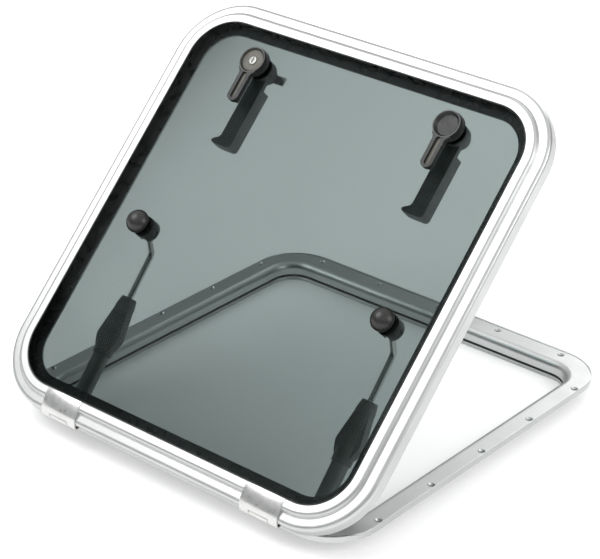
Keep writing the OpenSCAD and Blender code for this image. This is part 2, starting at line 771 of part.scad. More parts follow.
base_frame();
latch_wear_strip();
hinge_bracket(-1);  // hinge_bracket_left
hinge_bracket(1);  // hinge_bracket_right
hinge_bracket_screws();
stay_bracket(-1);  // stay_bracket_left
stay_bracket(1);  // stay_bracket_right
stay_foot_pin(-1);  // stay_foot_pin_left
stay_foot_pin(1);  // stay_foot_pin_right
stay_bracket_screws();
lid_frame();
pane();
pane_sealant();
weather_seal();
hinge_leaf(-1);  // hinge_leaf_left
hinge_leaf(1);  // hinge_leaf_right
hinge_leaf_screws();
hinge_pin(-1);  // hinge_pin_left
hinge_pin(1);  // hinge_pin_right
hinge_bush(-1);  // hinge_bush_left
hinge_bush(1);  // hinge_bush_right
spindle_bush(-1);  // spindle_bush_left
spindle_bush(1);  // spindle_bush_right
handle_gaskets();
stay_cap(-1);  // stay_cap_left
stay_cap(1);  // stay_cap_right
stay_boss(-1);  // stay_boss_left
stay_boss(1);  // stay_boss_right
stay_washers();
stay_rod_pin(-1);  // stay_rod_pin_left
stay_rod_pin(1);  // stay_rod_pin_right
outer_handle(-1);  // outer_handle_left
outer_handle(1);  // outer_handle_right
handle_inlay(-1);  // handle_inlay_left
handle_inlay(1);  // handle_inlay_right
spindle(-1);  // spindle_left
spindle(1);  // spindle_right
inner_handle(-1);  // inner_handle_left
inner_handle(1);  // inner_handle_right
latch_tongue(-1);  // latch_tongue_left
latch_tongue(1);  // latch_tongue_right
spindle_screw(-1);  // spindle_screw_left
spindle_screw(1);  // spindle_screw_right
lock_insert();
lock_barrel();
lock_cam();
stay_rod(-1);  // stay_rod_left
stay_rod(1);  // stay_rod_right
stay_tube(-1);  // stay_tube_left
stay_tube(1);  // stay_tube_right
stay_collar(-1);  // stay_collar_left
stay_collar(1);  // stay_collar_right
twist_grip(-1);  // twist_grip_left
twist_grip(1);  // twist_grip_right
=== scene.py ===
"""Deck hatch: looks, small parts and stage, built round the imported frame."""

import json
import math

import bmesh
import bpy
from bpy.props import FloatProperty, FloatVectorProperty, IntProperty, PointerProperty
from mathutils import Matrix, Vector


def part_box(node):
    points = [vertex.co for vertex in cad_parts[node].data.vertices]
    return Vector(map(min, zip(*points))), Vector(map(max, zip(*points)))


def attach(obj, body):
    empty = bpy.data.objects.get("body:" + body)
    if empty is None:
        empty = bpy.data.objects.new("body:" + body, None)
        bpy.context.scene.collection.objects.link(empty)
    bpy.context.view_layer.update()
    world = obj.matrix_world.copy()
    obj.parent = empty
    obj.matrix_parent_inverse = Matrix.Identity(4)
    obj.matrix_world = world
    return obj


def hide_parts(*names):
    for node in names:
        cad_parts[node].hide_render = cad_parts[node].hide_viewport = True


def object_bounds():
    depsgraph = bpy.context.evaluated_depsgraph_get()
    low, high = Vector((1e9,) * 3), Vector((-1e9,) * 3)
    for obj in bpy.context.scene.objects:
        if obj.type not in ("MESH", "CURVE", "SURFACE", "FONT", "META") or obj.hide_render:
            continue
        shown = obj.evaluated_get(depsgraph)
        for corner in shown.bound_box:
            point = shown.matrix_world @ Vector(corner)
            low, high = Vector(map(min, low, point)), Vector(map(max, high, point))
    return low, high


bl_info = {
    "name": "Deck hatch",
    "version": (1, 0, 0),
    "blender": (4, 5, 0),
    "location": "View3D > Sidebar > Deck hatch",
    "description": "Finishes, trims and stage for a glazed deck hatch",
    "category": "Object",
}

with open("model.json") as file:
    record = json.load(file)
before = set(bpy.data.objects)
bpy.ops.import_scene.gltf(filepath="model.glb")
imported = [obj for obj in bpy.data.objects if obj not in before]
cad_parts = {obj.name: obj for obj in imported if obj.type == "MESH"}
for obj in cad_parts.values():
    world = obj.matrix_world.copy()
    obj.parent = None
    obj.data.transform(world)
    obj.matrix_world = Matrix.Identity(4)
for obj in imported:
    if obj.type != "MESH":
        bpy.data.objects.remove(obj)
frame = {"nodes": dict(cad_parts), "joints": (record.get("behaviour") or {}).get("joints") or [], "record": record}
CAD_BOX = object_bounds()
NODES = frame["nodes"]
JOINTS = {j["name"]: j for j in frame["joints"]}
SIDES = {"left": -1.0, "right": 1.0}
MM = 0.001

# The lid is stored open. LID turns a point of the shut lid to where it stands, and back.
HINGE = Vector(JOINTS["lid_hinge"]["pos_m"])
REST_OPEN = -math.radians(JOINTS["lid_hinge"]["range_deg"][0])
LID = Matrix.Translation(HINGE) @ Matrix.Rotation(REST_OPEN, 4, "X") @ Matrix.Translation(-HINGE)
SHUT = LID.inverted()


def shut_box(name):
    """Lowest and highest corners of a lid piece with the lid shut."""
    points = [SHUT @ v.co for v in NODES[name].data.vertices]
    low = Vector([min(p[i] for p in points) for i in range(3)])
    high = Vector([max(p[i] for p in points) for i in range(3)])
    return low, high


def tube_turn(side):
    """Matrix of a stay tube, with the origin on its lower pivot and +Y up the tube."""
    foot = Vector(JOINTS["stay_foot_" + side]["pos_m"])
    points = [v.co for v in NODES["stay_tube_" + side].data.vertices]
    reach = max((p - foot).length for p in points)
    mouth = [p for p in points if (p - foot).length > reach - 0.6 * MM]
    centre = sum(mouth, Vector()) / len(mouth)
    slope = math.atan2(centre.z - foot.z, centre.y - foot.y)
    return Matrix.Translation(foot) @ Matrix.Rotation(slope, 4, "X")


# ---- sizes and colours that a user would change ----


class HATCH_PG_metal(bpy.types.PropertyGroup):
    """Finish of the bare metal."""

    colour: FloatVectorProperty(
        name="Aluminium", description="Colour of the anodised frames",
        subtype="COLOR", size=3, min=0, max=1, default=(0.56, 0.57, 0.565))
    cast: FloatVectorProperty(
        name="Castings", description="Colour of the cast hinges",
        subtype="COLOR", size=3, min=0, max=1, default=(0.66, 0.66, 0.65))
    steel: FloatVectorProperty(
        name="Steel", description="Colour of screws, pins and rods",
        subtype="COLOR", size=3, min=0, max=1, default=(0.60, 0.60, 0.59))
    tube: FloatVectorProperty(
        name="Tubes", description="Colour of the stays' tubes",
        subtype="COLOR", size=3, min=0, max=1, default=(0.29, 0.295, 0.29))
    roughness: FloatProperty(
        name="Roughness", description="Roughness of the anodised frames",
        min=0.05, max=0.9, default=0.33)
    soften: FloatProperty(
        name="Edge radius", description="Rounding of machined edges",
        subtype="DISTANCE", unit="LENGTH", min=0.0001, max=0.002, default=0.0004)


class HATCH_PG_pane(bpy.types.PropertyGroup):
    """The pane, its joint and the seal."""

    tint: FloatVectorProperty(
        name="Tint", description="Light that one face of the acrylic lets through",
        subtype="COLOR", size=3, min=0, max=1, default=(0.50, 0.545, 0.54))
    bead: FloatProperty(
        name="Bead", description="Radius of the bead round the pane's edge",
        subtype="DISTANCE", unit="LENGTH", min=0.0002, max=0.002, default=0.0009)
    lip: FloatProperty(
        name="Seal lip", description="Radius of a lip on the weather seal",
        subtype="DISTANCE", unit="LENGTH", min=0.0002, max=0.002, default=0.0007)


class HATCH_PG_plastic(bpy.types.PropertyGroup):
    """Moulded parts."""

    handle: FloatVectorProperty(
        name="Handles", description="Colour of the handles",
        subtype="COLOR", size=3, min=0, max=1, default=(0.016, 0.017, 0.017))
    lever: FloatVectorProperty(
        name="Inner levers", description="Colour of the inner levers",
        subtype="COLOR", size=3, min=0, max=1, default=(0.26, 0.265, 0.26))
    grip: FloatVectorProperty(
        name="Twist grips", description="Colour of the stays' twist grips",
        subtype="COLOR", size=3, min=0, max=1, default=(0.21, 0.215, 0.21))
    dome: FloatVectorProperty(
        name="Domes", description="Colour of the stays' domes and bosses",
        subtype="COLOR", size=3, min=0, max=1, default=(0.022, 0.022, 0.021))
    soften: FloatProperty(
        name="Edge radius", description="Rounding of moulded edges",
        subtype="DISTANCE", unit="LENGTH", min=0.0002, max=0.003, default=0.0012)
    ribs: IntProperty(
        name="Ribs", description="Ribs on each face of a twist grip", min=3, max=20, default=9)


class HATCH_PG_stage(bpy.types.PropertyGroup):
    """Camera, lamps and floor."""

    azimuth: FloatProperty(
        name="Azimuth", description="Heading of the camera, from +Y towards -X",
        subtype="ANGLE", unit="ROTATION", default=math.radians(39.45))
    elevation: FloatProperty(
        name="Elevation", description="Height angle of the camera",
        subtype="ANGLE", unit="ROTATION", default=math.radians(27.12))
    roll: FloatProperty(
        name="Roll", description="Roll of the camera",
        subtype="ANGLE", unit="ROTATION", default=math.radians(1.2))
    place: FloatVectorProperty(
        name="Place", description="Place of the camera",
        subtype="TRANSLATION", unit="LENGTH", size=3, default=(1.5558, -1.9215, 1.4186))
    lens: FloatProperty(
        name="Lens", description="Focal length in millimetres", min=20, max=300, default=131.0)
    key: FloatProperty(
        name="Key lamp", description="Power of the large lamp in watts", min=0, max=2000, default=60.0)


# ---- materials ----


class Finish:
    """A material with one Principled shader, and short calls for the nodes that feed it."""

    def __init__(self, name, colour, **sockets):
        self.material = bpy.data.materials.new(name)
        self.material.use_nodes = True
        self.tree = self.material.node_tree
        self.shader = self.tree.nodes["Principled BSDF"]
        self.shader.inputs["Base Color"].default_value = (*colour, 1)
        for socket, value in sockets.items():
            self.shader.inputs[socket.replace("_", " ")].default_value = value
        self.where = self.tree.nodes.new("ShaderNodeTexCoord").outputs["Object"]

    def link(self, a, b):
        self.tree.links.new(a, b)

    def noise(self, scale, detail=3.0, stretch=(1, 1, 1)):
        mapping = self.tree.nodes.new("ShaderNodeMapping")
        mapping.inputs["Scale"].default_value = stretch
        self.link(self.where, mapping.inputs["Vector"])
        noise = self.tree.nodes.new("ShaderNodeTexNoise")
        noise.inputs["Scale"].default_value = scale
        noise.inputs["Detail"].default_value = detail
        self.link(mapping.outputs["Vector"], noise.inputs["Vector"])
        return noise.outputs["Fac"]

    def spread(self, value, low, high):
        """A texture's middle values, spread from low to high."""
        node = self.tree.nodes.new("ShaderNodeMapRange")
        node.inputs["From Min"].default_value = 0.3
        node.inputs["From Max"].default_value = 0.7
        node.inputs["To Min"].default_value = low
        node.inputs["To Max"].default_value = high
        self.link(value, node.inputs["Value"])
        return node.outputs["Result"]

    def vary_colour(self, value, one, other):
        ramp = self.tree.nodes.new("ShaderNodeValToRGB")
        ramp.color_ramp.elements[0].position = 0.3
        ramp.color_ramp.elements[1].position = 0.7
        ramp.color_ramp.elements[0].color = (*one, 1)
        ramp.color_ramp.elements[1].color = (*other, 1)
        self.link(value, ramp.inputs["Fac"])
        self.link(ramp.outputs["Color"], self.shader.inputs["Base Color"])

    def vary_roughness(self, value, low, high):
        self.link(self.spread(value, low, high), self.shader.inputs["Roughness"])

    def bump(self, value, depth, strength=0.3):
        bump = self.tree.nodes.new("ShaderNodeBump")
        bump.inputs["Distance"].default_value = depth
        bump.inputs["Strength"].default_value = strength
        self.link(value, bump.inputs["Height"])
        self.link(bump.outputs["Normal"], self.shader.inputs["Normal"])


def tone(colour, factor):
    return tuple(min(1.0, c * factor) for c in colour)


def anodised_aluminium(metal):
    """Satin anodised extrusion: an even fine grain with faint handling marks."""
    f = Finish("anodised aluminium", metal.colour, Metallic=1.0)
    f.vary_colour(f.noise(14, 4), tone(metal.colour, 0.955), tone(metal.colour, 1.03))
    f.vary_roughness(f.noise(60, 5), metal.roughness - 0.03, metal.roughness + 0.05)
    f.bump(f.noise(2600, 2), 0.00004, 0.25)
    return f.material


def cast_aluminium(metal):
    """Linished casting: finer and brighter than the frames, with a soft ripple."""
    f = Finish("cast aluminium", metal.cast, Metallic=1.0)
    f.vary_colour(f.noise(40, 4), tone(metal.cast, 0.94), tone(metal.cast, 1.04))
    f.vary_roughness(f.noise(160, 4), 0.26, 0.38)
    f.bump(f.noise(900, 3), 0.00006, 0.3)
    return f.material


def turned_steel(metal):
    """Stainless steel with fine turning marks."""
    f = Finish("stainless steel", metal.steel, Metallic=1.0)
    f.vary_colour(f.noise(90, 3), tone(metal.steel, 0.92), tone(metal.steel, 1.06))
    f.vary_roughness(f.noise(500, 3, (1, 6, 6)), 0.18, 0.30)
    f.bump(f.noise(3000, 2, (0.2, 4, 4)), 0.00002, 0.2)
    return f.material


def drawn_tube(metal):
    """Grey drawn tube, with worn patches that catch the light."""
    f = Finish("drawn tube", metal.tube, Metallic=0.5)
    f.vary_colour(f.noise(55, 5), tone(metal.tube, 0.88), tone(metal.tube, 1.15))
    f.vary_roughness(f.noise(140, 4), 0.34, 0.5)
    f.bump(f.noise(2200, 2), 0.00003, 0.3)
    return f.material


def moulded(name, colour, low=0.36, high=0.5, grain=1500.0):
    """Moulded nylon: a fine spark-eroded grain."""
    f = Finish(name, colour)
    f.shader.inputs["Specular IOR Level"].default_value = 0.45
    f.vary_colour(f.noise(70, 4), tone(colour, 0.88), tone(colour, 1.16))
    f.vary_roughness(f.noise(220, 4), low, high)
    f.bump(f.noise(grain, 3), 0.00007, 0.35)
    return f.material


def soft_rubber(name, colour, low=0.6, high=0.78):
    """Matt rubber with a dusty bloom."""
    f = Finish(name, colour)
    f.vary_colour(f.noise(120, 5), tone(colour, 0.8), tone(colour, 1.3))
    f.vary_roughness(f.noise(300, 4), low, high)
    f.bump(f.noise(1200, 3), 0.00008, 0.35)
    return f.material


def cured_sealant():
    """Black structural sealant: smooth, with a soft sheen and slight waves from tooling."""
    f = Finish("black sealant", (0.012, 0.016, 0.014))
    f.vary_colour(f.noise(20, 3), (0.010, 0.014, 0.012), (0.018, 0.023, 0.020))
    f.vary_roughness(f.noise(80, 3), 0.22, 0.36)
    f.bump(f.noise(160, 2), 0.0001, 0.25)
    return f.material


def tinted_acrylic(pane):
    """Smoke-tinted sheet: each face lets its share of light through and mirrors the rest."""
    f = Finish("tinted acrylic", (0.02, 0.024, 0.024), Roughness=0.06)
    f.shader.inputs["IOR"].default_value = 1.49
    clear = f.tree.nodes.new("ShaderNodeBsdfTransparent")
    ramp = f.tree.nodes.new("ShaderNodeValToRGB")
    ramp.color_ramp.elements[0].position = 0.25
    ramp.color_ramp.elements[1].position = 0.75
    ramp.color_ramp.elements[0].color = (*tone(pane.tint, 0.985), 1)
    ramp.color_ramp.elements[1].color = (*tone(pane.tint, 1.015), 1)
    f.link(f.noise(5, 2), ramp.inputs["Fac"])
    f.link(ramp.outputs["Color"], clear.inputs["Color"])
    f.bump(f.noise(7, 1), 0.0006, 0.05)
    fresnel = f.tree.nodes.new("ShaderNodeFresnel")
    fresnel.inputs["IOR"].default_value = 1.49
    mix = f.tree.nodes.new("ShaderNodeMixShader")
    f.link(fresnel.outputs["Fac"], mix.inputs["Fac"])
    f.link(clear.outputs["BSDF"], mix.inputs[1])
    f.link(f.shader.outputs["BSDF"], mix.inputs[2])
    f.link(mix.outputs["Shader"], f.tree.nodes["Material Output"].inputs["Surface"])
    return f.material


def studio_floor():
    """Matt white floor with a faint glow, so that it stays pale in the shade."""
    f = Finish("studio floor", (0.9, 0.9, 0.895), Roughness=0.8, Emission_Strength=0.3)
    f.shader.inputs["Emission Color"].default_value = (1, 1, 1, 1)
    f.vary_colour(f.noise(1.2, 2), (0.895, 0.895, 0.89), (0.91, 0.91, 0.905))
    return f.material


FINISHES = {}


def finish(name):
    """The material of that name, made the first time it is asked for."""
    scene = bpy.context.scene
    metal, plastic, pane = scene.hatch_metal, scene.hatch_plastic, scene.hatch_pane
    makers = {
        "aluminium": lambda: anodised_aluminium(metal),
        "casting": lambda: cast_aluminium(metal),
        "steel": lambda: turned_steel(metal),
        "tube": lambda: drawn_tube(metal),
        "handle": lambda: moulded("handle nylon", plastic.handle),
        "lever": lambda: moulded("lever nylon", plastic.lever, 0.42, 0.55),
        "grip": lambda: moulded("grip nylon", plastic.grip, 0.38, 0.5),
        "dome": lambda: moulded("dome nylon", plastic.dome, 0.24, 0.36),
        # Painted highlight: pale grey nylon for the bead that lights the top rim of each black handle head.
        "edge": lambda: moulded("nylon rim painted highlight", (0.16, 0.165, 0.16), 0.3, 0.4),
        "bush": lambda: moulded("black bush", (0.01, 0.01, 0.01), 0.3, 0.45),
        "rubber": lambda: soft_rubber("seal rubber", (0.018, 0.018, 0.018)),
        # Painted shade: a near-black finish for the strip that darkens the latch groove as its shadow would.
        "strip": lambda: soft_rubber("painted groove shade", (0.03, 0.032, 0.032), 0.5, 0.66),
        "sealant": cured_sealant,
        "acrylic": lambda: tinted_acrylic(pane),
        "insert": lambda: moulded("lock surround", (0.125, 0.12, 0.10), 0.4, 0.52),
        "barrel": lambda: lock_steel(metal),
    }
    if name not in FINISHES:
        FINISHES[name] = makers[name]()
    return FINISHES[name]


def lock_steel(metal):
    """Dull grey key barrel."""
    f = Finish("lock barrel", tone(metal.steel, 0.5), Metallic=1.0)
    f.vary_colour(f.noise(200, 3), tone(metal.steel, 0.42), tone(metal.steel, 0.58))
    f.vary_roughness(f.noise(700, 3), 0.28, 0.42)
    return f.material


# ---- mesh helpers ----


def new_piece(name, mesh, body, material=None):
    """Puts a finished mesh in the scene, on a body, with the material in its mesh's slot."""
    piece = bpy.data.objects.new(name, mesh)
    bpy.context.scene.collection.objects.link(piece)
    if material:
        mesh.materials.clear()
        mesh.materials.append(material)
    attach(piece, body)
    return piece


def paint(name, material):
    """Gives a CAD piece its finish, and leaves its mesh as it is."""
    mesh = NODES[name].data
    mesh.materials.clear()
    mesh.materials.append(material)


def body_of(name):
    for body, names in frame["record"]["behaviour"]["bodies"].items():
        if name in names:
            return body
    raise ValueError(name)


def soft_copy(name, material, radius, segments=3, sharp=28):
    """A copy of a CAD piece with its sharp edges rounded, which stands for that piece."""
    mesh = NODES[name].data.copy()
    mesh.name = name + "_soft"
    work = bmesh.new()
    work.from_mesh(mesh)
    bmesh.ops.remove_doubles(work, verts=work.verts, dist=0.00002)
    bmesh.ops.dissolve_limit(
        work, angle_limit=math.radians(1.0), verts=work.verts, edges=work.edges)
    work.to_mesh(mesh)
    work.free()
    for old in ("custom_normal", "sharp_face", "sharp_edge"):
        if old in mesh.attributes:
            mesh.attributes.remove(mesh.attributes[old])
    holder = bpy.data.objects.new(name + "_work", mesh)
    bpy.context.scene.collection.objects.link(holder)
    bevel = holder.modifiers.new("Edges", "BEVEL")
    bevel.width = radius
    bevel.segments = segments
    bevel.limit_method = "ANGLE"
    bevel.angle_limit = math.radians(sharp)
    bevel.use_clamp_overlap = True
    bevel.harden_normals = False
    bpy.context.view_layer.update()
    done = bpy.data.meshes.new_from_object(
        holder.evaluated_get(bpy.context.evaluated_depsgraph_get()))
    bpy.data.objects.remove(holder)
    done.name = name + "_soft"
    for face in done.polygons:
        face.use_smooth = True
    piece = new_piece(name + "_soft", done, body_of(name), material)
    smooth_by_angle(piece, 32)
    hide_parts(name)
    return piece


def smooth_by_angle(piece, degrees):
    """Marks edges sharper than the angle, so that flat faces stay flat and round ones round."""
    work = bmesh.new()
    work.from_mesh(piece.data)
    for edge in work.edges:
        edge.smooth = len(edge.link_faces) == 2 and edge.calc_face_angle(0) < math.radians(degrees)
    work.to_mesh(piece.data)
    work.free()


# ---- Geometry Nodes ----


class Tree:
    """A Geometry Nodes tree with named inputs, ended by Realize Instances and Set Material."""

    def __init__(self, name, sizes):
        self.group = bpy.data.node_groups.new(name, "GeometryNodeTree")
        face = self.group.interface
        face.new_socket("Geometry", in_out="OUTPUT", socket_type="NodeSocketGeometry")
        for label, (kind, value) in sizes.items():
            socket = face.new_socket(label, in_out="INPUT", socket_type="NodeSocket" + kind)
            if value is not None:
                socket.default_value = value
        face.new_socket("Material", in_out="INPUT", socket_type="NodeSocketMaterial")
        self.given = self.group.nodes.new("NodeGroupInput").outputs

    def add(self, kind, settings=None, **inputs):
        node = self.group.nodes.new(kind)
        for key, value in (settings or {}).items():
            setattr(node, key, value)
        for key, value in inputs.items():
            self.put(value, node.inputs[key.replace("_", " ")])
        return node

    def put(self, value, socket):
        if isinstance(value, bpy.types.NodeSocket):
            self.group.links.new(value, socket)
        else:
            socket.default_value = value

    def end(self, geometry):
        real = self.add("GeometryNodeRealizeInstances", Geometry=geometry)
        smooth = self.add("GeometryNodeSetShadeSmooth", Geometry=real.outputs[0])
        coated = self.add(
            "GeometryNodeSetMaterial", Geometry=smooth.outputs[0], Material=self.given["Material"])
        out = self.group.nodes.new("NodeGroupOutput")
        self.group.links.new(coated.outputs[0], out.inputs["Geometry"])
        return self.group


def grown(name, group, place, body, material, sizes, sharp=40):
    """Runs a tree once, and keeps its result as a plain mesh piece that is put in its place."""
    holder = bpy.data.objects.new(name + "_grow", bpy.data.meshes.new(name + "_seed"))
    bpy.context.scene.collection.objects.link(holder)
    nodes = holder.modifiers.new("Grow", "NODES")
    nodes.node_group = group
    keys = {
        item.name: item.identifier for item in group.interface.items_tree
        if item.in_out == "INPUT"}
    for label, value in {**sizes, "Material": material}.items():
        nodes[keys[label]] = value
    bpy.context.view_layer.update()
    mesh = bpy.data.meshes.new_from_object(
        holder.evaluated_get(bpy.context.evaluated_depsgraph_get()))
    holder.modifiers.remove(nodes)
    bpy.data.objects.remove(holder)
    mesh.name = name
    mesh.transform(place)
    piece = new_piece(name, mesh, body)
    smooth_by_angle(piece, sharp)
    return piece


def bead_tree():
    """A round bead that follows a rectangle with round corners."""
    tree = Tree("Bead round a frame", {
        "Width": ("Float", 0.5), "Depth": ("Float", 0.5), "Corner": ("Float", 0.05),
        "Radius": ("Float", 0.001)})
    path = tree.add(
        "GeometryNodeCurvePrimitiveQuadrilateral",
        Width=tree.given["Width"], Height=tree.given["Depth"])
    corners = tree.add(
        "GeometryNodeFilletCurve", {"mode": "POLY"}, Curve=path.outputs[0], Count=20,
        Radius=tree.given["Corner"], Limit_Radius=True)
    section = tree.add("GeometryNodeCurvePrimitiveCircle", Resolution=12, Radius=tree.given["Radius"])
    bead = tree.add(
        "GeometryNodeCurveToMesh", Curve=corners.outputs[0], Profile_Curve=section.outputs[0])
    return tree.end(bead.outputs[0])


def knurl_tree():
    """Ribs spaced round a part of a circle, each lying along the circle's axis."""
    tree = Tree("Ribs round a grip", {
        "Count": ("Int", 14), "Radius": ("Float", 0.01), "Start": ("Float", 0.0),
        "Sweep": ("Float", 3.0), "Length": ("Float", 0.02), "Rib": ("Float", 0.0006)})
    arc = tree.add(
        "GeometryNodeCurveArc", Resolution=tree.given["Count"], Radius=tree.given["Radius"],
        Start_Angle=tree.given["Start"], Sweep_Angle=tree.given["Sweep"])
    points = tree.add("GeometryNodeCurveToPoints", {"mode": "EVALUATED"}, Curve=arc.outputs[0])
    rod = tree.add(
        "GeometryNodeMeshCylinder", Vertices=10, Side_Segments=1,
        Radius=tree.given["Rib"], Depth=tree.given["Length"])
    laid = tree.add(
        "GeometryNodeInstanceOnPoints", Points=points.outputs[0], Instance=rod.outputs[0])
    return tree.end(laid.outputs[0])


TREES = {}


def tree_of(maker):
    if maker not in TREES:
        TREES[maker] = maker()
    return TREES[maker]


def bead(name, half_x, half_y, corner, radius, place, body, slot, material):
    return grown(name, tree_of(bead_tree), place, body, material, {
        "Width": 2 * half_x, "Depth": 2 * half_y, "Corner": corner, "Radius": radius})


# ---- base frame ----


class HATCH_OT_base(bpy.types.Operator):
    """Base frame with the dark strip that paints shade into its latch groove, and the fine lines under the groove
    """

    bl_idname = "hatch.base"
    bl_label = "Base frame"

    LINES = 3
    LINE_PITCH = 0.0012
    LINE_RADIUS = 0.00035

    def execute(self, context):
        metal = finish("aluminium")
        paint("base_frame", metal)
        # Painted shade: latch_wear_strip gets a near-black finish that stands in for the shadow inside the latch
        # groove.
        paint("latch_wear_strip", finish("strip"))
        low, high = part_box("latch_wear_strip")
        groove_deep = 2.5 * MM
        inner = high.x - groove_deep
        corner = 35.5 * MM
        for i in range(self.LINES):
            z = low.z - 1.5 * MM - i * self.LINE_PITCH
            bead(f"spigot_line_{i + 1}", inner, inner, corner, self.LINE_RADIUS,
                 Matrix.Translation((0, 0, z)), "base", "satin_aluminium", metal)
        return {"FINISHED"}


# ---- lid ----


class HATCH_OT_lid(bpy.types.Operator):
    """Lid frame, pane, sealant and weather seal, with the beads round them"""

    bl_idname = "hatch.lid"
    bl_label = "Lid"

    def execute(self, context):
        sizes = context.scene.hatch_pane
        paint("lid_frame", finish("aluminium"))
        paint("pane", finish("acrylic"))
        paint("pane_sealant", finish("sealant"))
        paint("weather_seal", finish("rubber"))
        low, high = shut_box("pane")
        centre = (low + high) / 2
        half = (high - low) / 2
        joint = 0.75 * MM
        bead("pane_edge_bead", half.x + joint, half.y + joint, 58.3 * MM, sizes.bead,
             LID @ Matrix.Translation((centre.x, centre.y, high.z - 0.45 * MM)),
             "lid", "black_sealant", finish("sealant"))
        low, high = shut_box("weather_seal")
        centre = (low + high) / 2
        half = (high - low) / 2
        for i, inset in enumerate((0.8, 5.2)):
            bead(f"seal_lip_{i + 1}", half.x - inset * MM, half.y - inset * MM,
                 (51.8 - inset) * MM, sizes.lip,
                 LID @ Matrix.Translation((centre.x, centre.y, high.z - 1.6 * MM)),
                 "lid", "seal_rubber", finish("rubber"))
        return {"FINISHED"}


class HATCH_OT_hinges(bpy.types.Operator):
    """Hinge leaves, brackets, pins and bushes"""

    bl_idname = "hatch.hinges"
    bl_label = "Hinges"

    def execute(self, context):
        radius = context.scene.hatch_metal.soften
        for side in SIDES:
            soft_copy("hinge_leaf_" + side, finish("casting"), radius, 2)
            soft_copy("hinge_bracket_" + side, finish("casting"), radius, 2)
            soft_copy("hinge_pin_" + side, finish("steel"), radius, 2)
            soft_copy("hinge_bush_" + side, finish("bush"), radius * 0.6, 2)
        return {"FINISHED"}


class HATCH_OT_handles(bpy.types.Operator):
    """Outer handles, spindles, inner levers and latch tongues"""

    bl_idname = "hatch.handles"
    bl_label = "Handles"

    def execute(self, context):
        sizes = context.scene.hatch_plastic
        edge = context.scene.hatch_metal.soften
        for side, sign in SIDES.items():
            soft_copy("outer_handle_" + side, finish("handle"), sizes.soften * 0.7, 4)
            soft_copy("inner_handle_" + side, finish("lever"), sizes.soften, 4)
            soft_copy("handle_inlay_" + side, finish("insert"), edge * 0.4, 2)
            soft_copy("latch_tongue_" + side, finish("steel"), edge, 2)
            paint("spindle_" + side, finish("steel"))
            paint("spindle_bush_" + side, finish("bush"))
            soft_copy("spindle_screw_" + side, finish("steel"), edge, 2)
            low, high = shut_box("outer_handle_" + side)
            x = (low.x + high.x) / 2
            head = 18.4 * MM
            y = high.y - 20.0 * MM
            ring = LID @ Matrix.Translation((x, y, high.z - 0.15 * MM))
            # Painted highlight: a pale grey bead round the top rim of each black handle head stands in for the
            # light caught on that rim.
            bead(f"handle_rim_{side}", head - 0.8 * MM, head - 0.8 * MM, head - 0.8 * MM, 0.35 * MM,
                 ring, "handle_" + side, "handle_black", finish("edge"))
        soft_copy("handle_gaskets", finish("rubber"), edge * 0.6, 2)
        return {"FINISHED"}


class HATCH_OT_lock(bpy.types.Operator):
    """Key lock in the left handle"""

    bl_idname = "hatch.lock"
    bl_label = "Key lock"

    def execute(self, context):
        edge = context.scene.hatch_metal.soften
        soft_copy("lock_insert", finish("insert"), edge, 2)
        soft_copy("lock_barrel", finish("barrel"), edge * 0.8, 2)
        soft_copy("lock_cam", finish("steel"), edge * 0.6, 2)
        return {"FINISHED"}


# ---- stays ----


class HATCH_OT_stays(bpy.types.Operator):
    """Caps, bosses, rods, tubes, collars and twist grips, with their ribs"""

    bl_idname = "hatch.stays"
    bl_label = "Stays"

    BODY_RADIUS = 12.8 * MM
    RIB_FROM = 14 * MM
    RIB_LENGTH = 44 * MM
    RIB_SWEEP = math.radians(84)

    def execute(self, context):
        sizes = context.scene.hatch_plastic
        edge = context.scene.hatch_metal.soften
        for side in SIDES:
            soft_copy("stay_cap_" + side, finish("dome"), sizes.soften * 0.5, 3)
            soft_copy("stay_boss_" + side, finish("dome"), sizes.soften * 0.6, 3)
            soft_copy("stay_collar_" + side, finish("grip"), sizes.soften * 0.4, 3)
            soft_copy("twist_grip_" + side, finish("grip"), sizes.soften * 0.8, 4)
            soft_copy("stay_bracket_" + side, finish("tube"), edge, 2)
            paint("stay_tube_" + side, finish("tube"))
            paint("stay_rod_" + side, finish("steel"))
            for pin in ("stay_foot_pin_", "stay_rod_pin_"):
                soft_copy(pin + side, finish("steel"), edge, 2)
            self.ribs(side, sizes)
        soft_copy("stay_washers", finish("rubber"), edge * 0.6, 2)
        return {"FINISHED"}

    def ribs(self, side, sizes):
        """Fine ribs along the twist grip's body, on its upper and lower faces."""
        turn = tube_turn(side)
        inside = turn.inverted()
        low = min((inside @ v.co).y for v in NODES["twist_grip_" + side].data.vertices)
        middle = low + self.RIB_FROM + self.RIB_LENGTH / 2
        for face, heading in (("upper", 90), ("lower", 270)):
            grown(f"grip_ribs_{face}_{side}", tree_of(knurl_tree),
                  turn @ Matrix.Translation((0, middle, 0)) @ Matrix.Rotation(math.pi / 2, 4, "X"),
                  "grip_" + side, finish("grip"), {
                      "Count": sizes.ribs, "Radius": self.BODY_RADIUS - 0.1 * MM,
                      "Start": math.radians(heading) - self.RIB_SWEEP / 2,
                      "Sweep": self.RIB_SWEEP, "Length": self.RIB_LENGTH, "Rib": 0.7 * MM})


class HATCH_OT_screws(bpy.types.Operator):
    """Small screws that hold the hinges and stays"""

    bl_idname = "hatch.screws"
    bl_label = "Screws"

    def execute(self, context):
        edge = context.scene.hatch_metal.soften
        for name in ("hinge_bracket_screws", "hinge_leaf_screws", "stay_bracket_screws"):
            soft_copy(name, finish("steel"), edge * 0.8, 2)
        return {"FINISHED"}


# ---- stage ----


